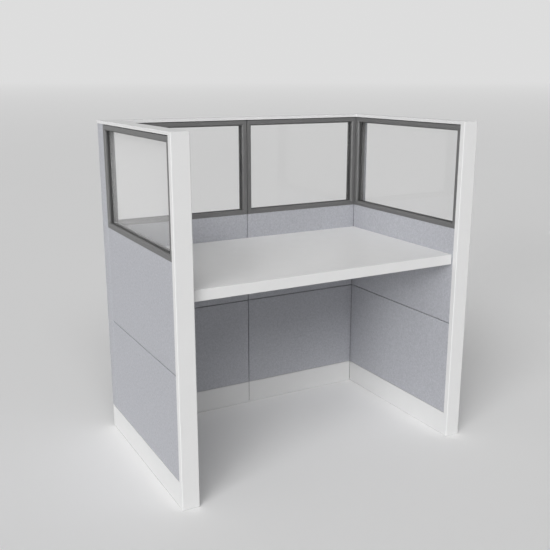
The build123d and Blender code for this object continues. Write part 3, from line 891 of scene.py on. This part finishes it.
def levelling_feet():
    """The levelling feet: a dished pad, a hexagon and a threaded stud on each."""
    sizes = {"Pad Radius": PAD_RADIUS, "Pad Height": PAD_HEIGHT, "Hexagon": FOOT_HEXAGON,
             "Shoulder": FOOT_SHOULDER, "Root": STUD_ROOT, "Stud Top": STUD_TOP, "Pitch": STUD_PITCH,
             "Sides": ROUND_SIDES}
    grower = Grower("levelling_feet", sizes)
    source = grower.source
    radius, height, shoulder = source["Pad Radius"], source["Pad Height"], source["Shoulder"]
    hexagon, root, stud_top = source["Hexagon"], source["Root"], source["Stud Top"]
    rim = grower.math("MULTIPLY", radius, PAD_RIM_SHARE)
    low, high = (grower.math("MULTIPLY", height, share) for share in PAD_EDGE_SHARES)
    crown = grower.math("MULTIPLY", radius, PAD_CROWN_SHARE)
    profile = [(0.0, 0.0), (rim, 0.0), (radius, low), (radius, high), (crown, height), (0.0, height)]
    pad = grower.turned(profile, source["Sides"])
    seat = grower.math("MULTIPLY", height, FOOT_SEAT_SHARE)
    bevel = grower.math("SUBTRACT", shoulder, FOOT_BEVEL)
    narrow = grower.math("MULTIPLY", hexagon, FOOT_FACE_SHARE)
    profile = [(0.0, seat), (hexagon, seat), (hexagon, bevel), (narrow, shoulder), (0.0, shoulder)]
    nut = grower.turned(profile, HEXAGON_SIDES)
    tip = grower.math("SUBTRACT", stud_top, source["Pitch"])
    point = grower.math("MULTIPLY", root, STUD_POINT_SHARE)
    profile = [(0.0, seat), (root, seat), (root, tip), (point, stud_top), (0.0, stud_top)]
    stud = grower.turned(profile, source["Sides"])
    ridge = grower.thread(root, shoulder, grower.math("SUBTRACT", tip, shoulder), source["Pitch"])
    grower.end(grower.on_points(grower.join(pad, nut, stud, ridge)), "zinc_feet")
    for node in sorted(frame["nodes"]):
        if node.endswith("_foot"):
            low_corner, high_corner = corners(node)
            middle = (low_corner + high_corner) / 2
            points = seat_points([(Vector((middle.x, middle.y, 0)), Vector((0, 0, 1)))])
            mesh = grower.grow(node + "_threaded", points)
            add_piece(node + "_threaded", mesh, "zinc_feet", body_holding(node), node)


def loop_mesh(loops):
    """Closed loops of edges through corner points."""
    points, edges = [], []
    for loop in loops:
        first = len(points)
        points.extend(loop)
        edges.extend((first + i, first + (i + 1) % len(loop)) for i in range(len(loop)))
    mesh = bpy.data.meshes.new("loops")
    mesh.from_pydata(points, edges, [])
    return mesh


def pane_loops(away, depth):
    """A loop round one side of each pane, along the middle of the seal that lies there."""
    loops = []
    inset = PANE_BITE + SEAL_THICKNESS / 2
    for wall in WALLS:
        low, high = corners(f"{wall}_window_glass")
        flat = 0 if wall in SIDE_WALLS else 1
        run = 1 - flat
        face = high[flat] if away > 0 else low[flat]
        left, right, sill, head = low[run] + inset, high[run] - inset, low.z + inset, high.z - inset
        loop = []
        for s, z in ((left, sill), (right, sill), (right, head), (left, head)):
            point = [0.0, 0.0, z]
            point[flat] = face + away * (SEAL_GAP + depth / 2)
            point[run] = s
            loop.append(point)
        loops.append(loop)
    return loops


def glazing_seals(name, away, depth):
    """The flat rubber seals on one side of every pane, along the window frame's opening."""
    sizes = {"Depth": depth, "Thickness": SEAL_THICKNESS * MITRE, "Edge": SEAL_EDGE}
    grower = Grower(name, sizes)
    source = grower.source
    path = grower.add("GeometryNodeMeshToCurve", {"Mesh": source["Geometry"]}).outputs[0]
    values = {"Width": source["Depth"], "Height": source["Thickness"]}
    section = grower.add("GeometryNodeCurvePrimitiveQuadrilateral", values).outputs[0]
    values = {"Curve": section, "Radius": source["Edge"]}
    rounded = grower.add("GeometryNodeFilletCurve", values, mode="POLY").outputs[0]
    values = {"Curve": path, "Profile Curve": rounded}
    grower.end(grower.add("GeometryNodeCurveToMesh", values).outputs[0], "gasket_rubber")
    mesh = grower.grow(name, loop_mesh(pane_loops(away, depth)))
    add_piece(name, mesh, "gasket_rubber", FIXED_BODY, "glazing_gaskets")


# Floor, light and camera

def lay_floor():
    """A pale floor that fades into the background far away."""
    mesh = bpy.data.meshes.new("floor")
    half = FLOOR_SIZE / 2
    outline = [(x, y, 0) for x, y in rectangle(-half, half, -half, half)]
    mesh.from_pydata(outline, [], [(0, 1, 2, 3)])
    floor = bpy.data.objects.new("floor", mesh)
    bpy.context.collection.objects.link(floor)
    material, nodes, shader, place = new_material("floor", Roughness=0.9, Specular_IOR_Level=0)
    trace = nodes.spread(nodes.noise(place, FLOOR_CLOUD), *FLOOR_SHADES)
    nodes.feed(shader, "Base Color", nodes.tinted(FLOOR_GREY, trace))
    distance = nodes.add("ShaderNodeVectorMath", {0: place}, operation="LENGTH").outputs["Value"]
    values = {"Value": nodes.math("LOGARITHM", distance, math.e),
              "From Min": math.log(FADE_START), "From Max": math.log(FADE_END)}
    fade = nodes.add("ShaderNodeMapRange", values, interpolation_type="SMOOTHSTEP").outputs[0]
    share = nodes.math("MULTIPLY", fade, nodes.looked_at())
    far = nodes.add("ShaderNodeEmission", {"Color": BACKGROUND, "Strength": 1}).outputs[0]
    mix = nodes.add("ShaderNodeMixShader", {0: share, 1: shader.outputs[0], 2: far}).outputs[0]
    nodes.feed(material.node_tree.nodes["Material Output"], "Surface", mix)
    mesh.materials.append(material)


def light_room():
    """A plain surround that shows as a pale background, and soft lights from the left front."""
    world = bpy.data.worlds.new("surround")
    bpy.context.scene.world = world
    world.use_nodes = True
    nodes = Nodes(world.node_tree)
    lit = world.node_tree.nodes["Background"]
    nodes.feed(lit, "Color", PLAIN_WHITE)
    nodes.feed(lit, "Strength", WORLD_LEVEL)
    seen = nodes.add("ShaderNodeBackground", {"Color": BACKGROUND, "Strength": 1})
    values = {0: nodes.looked_at(), 1: lit.outputs[0], 2: seen.outputs[0]}
    mix = nodes.add("ShaderNodeMixShader", values).outputs[0]
    nodes.feed(world.node_tree.nodes["World Output"], "Surface", mix)

    for side, height, strength in SOFT_LIGHTS:
        lamp = bpy.data.lights.new("soft_light", "SUN")
        lamp.energy = strength
        lamp.angle = SOFT_ANGLE
        light = bpy.data.objects.new("soft_light", lamp)
        light.rotation_euler = (math.radians(90 - height), 0, math.radians(-side))
        bpy.context.collection.objects.link(light)


def place_camera():
    """The photograph's viewpoint."""
    data = bpy.data.cameras.new("camera")
    data.lens = LENS
    data.sensor_width = SENSOR_WIDTH
    data.clip_end = FLOOR_SIZE
    camera = bpy.data.objects.new("camera", data)
    camera.location = CAMERA_PLACE
    camera.rotation_euler = (math.pi / 2 + CAMERA_PITCH, 0, -CAMERA_YAW)
    bpy.context.collection.objects.link(camera)
    bpy.context.scene.camera = camera


dress_frame()
upholster_tiles()
wrap_rear_covers()
floor_lips()
seam_strips()
corner_welts()
machine_screws()
hexagon_bolts()
hexagon_nuts()
levelling_feet()
glazing_seals("deep_glazing_seals", -1, DEEP_SEAL)
glazing_seals("shallow_glazing_seals", 1, SHALLOW_SEAL)
lay_floor()
light_room()
place_camera()
bpy.context.scene.view_settings.view_transform = "Standard"
